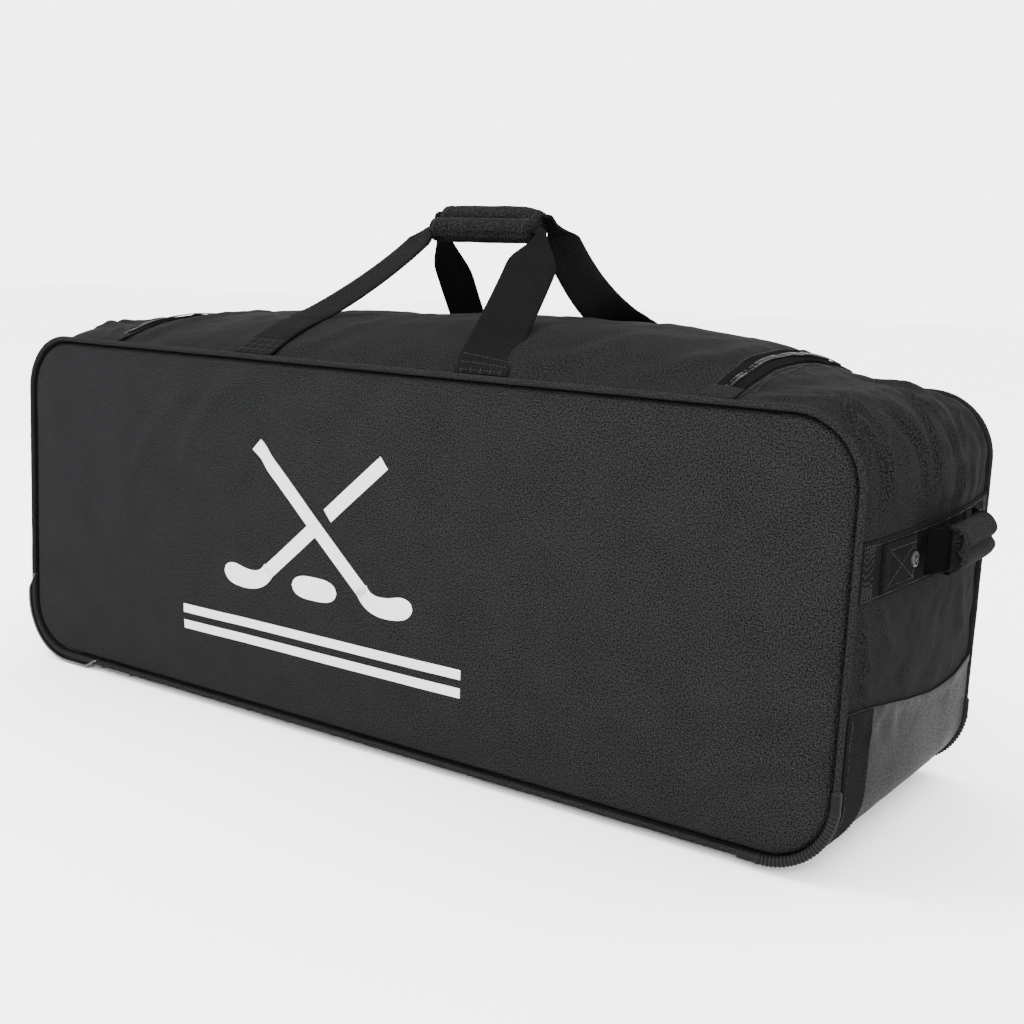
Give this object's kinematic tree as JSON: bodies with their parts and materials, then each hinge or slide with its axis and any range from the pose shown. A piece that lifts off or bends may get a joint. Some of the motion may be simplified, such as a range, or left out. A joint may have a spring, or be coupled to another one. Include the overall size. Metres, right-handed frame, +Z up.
{
  "type": "wheeled hockey equipment bag",
  "caption": "Long box-shaped equipment bag with a zipped top lid, joined top carry handles, a padded end handle, corner guards and wheels at one end.",
  "frame": {"origin": "middle of the bounding box, on the ground under the bag", "axes": "+Z up, +X along the length towards the pull handle, -Y towards the printed front panel"},
  "size_m": [1.0821, 0.3526, 0.5514],
  "materials": {
    "polyester": "matt woven polyester, fine weave",
    "tarpaulin": "satin coated tarpaulin",
    "webbing": "ribbed polypropylene webbing",
    "zip_tape": "woven zip tape",
    "zip_coil": "nylon coil, satin",
    "grip_fabric": "padded polyester over foam",
    "guard_rubber": "moulded rubber, satin",
    "housing_plastic": "moulded plastic, semi-gloss",
    "hub_plastic": "moulded nylon",
    "wheel_tyre": "polyurethane tyre",
    "board_plastic": "polyethylene sheet, fine grain",
    "axle_steel": "turned steel",
    "screw_steel": "zinc-plated steel",
    "rivet_metal": "gunmetal plated",
    "zip_metal": "dark plated zinc"
  },
  "bodies": {
    "bag": {"front_panel": "polyester", "rear_panel": "polyester", "front_top_strip": "polyester", "rear_top_panel": "polyester", "pull_end_panel": "polyester", "wheel_end_panel": "polyester", "front_piping": "polyester", "rear_piping": "polyester", "pull_end_tarpaulin": "tarpaulin", "wheel_end_tarpaulin": "tarpaulin", "bottom_panel": "tarpaulin", "tarpaulin_webbing": "webbing", "pull_end_band": "webbing", "handle_anchor_front": "webbing", "handle_anchor_rear": "webbing", "zip_tape_body": "zip_tape", "corner_guard_front": "guard_rubber", "corner_guard_rear": "guard_rubber", "wheel_housing_front": "housing_plastic", "wheel_housing_rear": "housing_plastic", "runner_front": "housing_plastic", "runner_centre": "housing_plastic", "runner_rear": "housing_plastic", "base_board": "board_plastic", "wheel_axle_front": "axle_steel", "wheel_axle_rear": "axle_steel", "runner_screw_front_1": "screw_steel", "runner_screw_front_2": "screw_steel", "runner_screw_centre_1": "screw_steel", "runner_screw_centre_2": "screw_steel", "runner_screw_rear_1": "screw_steel", "runner_screw_rear_2": "screw_steel", "handle_rivet_front": "rivet_metal", "handle_washer_front": "rivet_metal", "handle_rivet_rear": "rivet_metal", "handle_washer_rear": "rivet_metal"},
    "lid": {"lid_panel": "polyester", "zip_tape_lid": "zip_tape", "zip_coil": "zip_coil", "zip_tab_pull": "polyester", "zip_tab_wheel": "polyester"},
    "front_handle": {"front_handle_webbing": "webbing", "front_handle_grip": "grip_fabric"},
    "rear_handle": {"rear_handle_webbing": "webbing", "rear_handle_grip": "grip_fabric"},
    "end_handle": {"end_handle_webbing": "webbing", "end_handle_grip": "grip_fabric"},
    "wheel_front": {"wheel_front_tyre": "wheel_tyre", "wheel_front_hub": "hub_plastic"},
    "wheel_rear": {"wheel_rear_tyre": "wheel_tyre", "wheel_rear_hub": "hub_plastic"},
    "slider_pull": {"zip_slider_pull": "zip_metal"},
    "slider_wheel": {"zip_slider_wheel": "zip_metal"},
    "puller_pull": {"zip_puller_pull": "zip_metal"},
    "puller_wheel": {"zip_puller_wheel": "zip_metal"}
  },
  "joints": [
    {"name": "lid_open", "type": "hinge", "parent": "bag", "child": "lid", "pos_m": [-0.02125, -0.166, 0.3916], "axis": [1, 0, 0], "range_deg": [0, 95]},
    {"name": "front_handle_swing", "type": "hinge", "parent": "lid", "child": "front_handle", "pos_m": [-0.02125, -0.166, 0.3916], "axis": [1, 0, 0], "range_deg": [0, 55]},
    {"name": "rear_handle_swing", "type": "hinge", "parent": "bag", "child": "rear_handle", "pos_m": [-0.02125, 0.166, 0.3916], "axis": [1, 0, 0], "range_deg": [-133, 0]},
    {"name": "end_handle_swing", "type": "hinge", "parent": "bag", "child": "end_handle", "pos_m": [0.50575, 0, 0.27], "axis": [0, 1, 0], "range_deg": [-40, 40]},
    {"name": "wheel_front_spin", "type": "hinge", "parent": "bag", "child": "wheel_front", "pos_m": [-0.49125, -0.13025, 0.04], "axis": [0, 1, 0], "continuous": true},
    {"name": "wheel_rear_spin", "type": "hinge", "parent": "bag", "child": "wheel_rear", "pos_m": [-0.49125, 0.13025, 0.04], "axis": [0, 1, 0], "continuous": true},
    {"name": "zip_slider_pull_slide", "type": "slide", "parent": "lid", "child": "slider_pull", "axis": [1, 0, 0], "range_m": [0, 0.2]},
    {"name": "zip_slider_wheel_slide", "type": "slide", "parent": "lid", "child": "slider_wheel", "axis": [1, 0, 0], "range_m": [-0.2, 0]},
    {"name": "zip_puller_pull_flip", "type": "hinge", "parent": "slider_pull", "child": "puller_pull", "pos_m": [-0.00025, 0.10746, 0.41968], "axis": [0, 0.917, -0.3988], "range_deg": [-85, 0]},
    {"name": "zip_puller_wheel_flip", "type": "hinge", "parent": "slider_wheel", "child": "puller_wheel", "pos_m": [-0.04225, 0.10746, 0.41968], "axis": [0, 0.917, -0.3988], "range_deg": [0, 85]}
  ],
  "couplings": [
    {"joint": "rear_handle_swing", "follows": "lid_open", "ratio": -1.4}
  ]
}
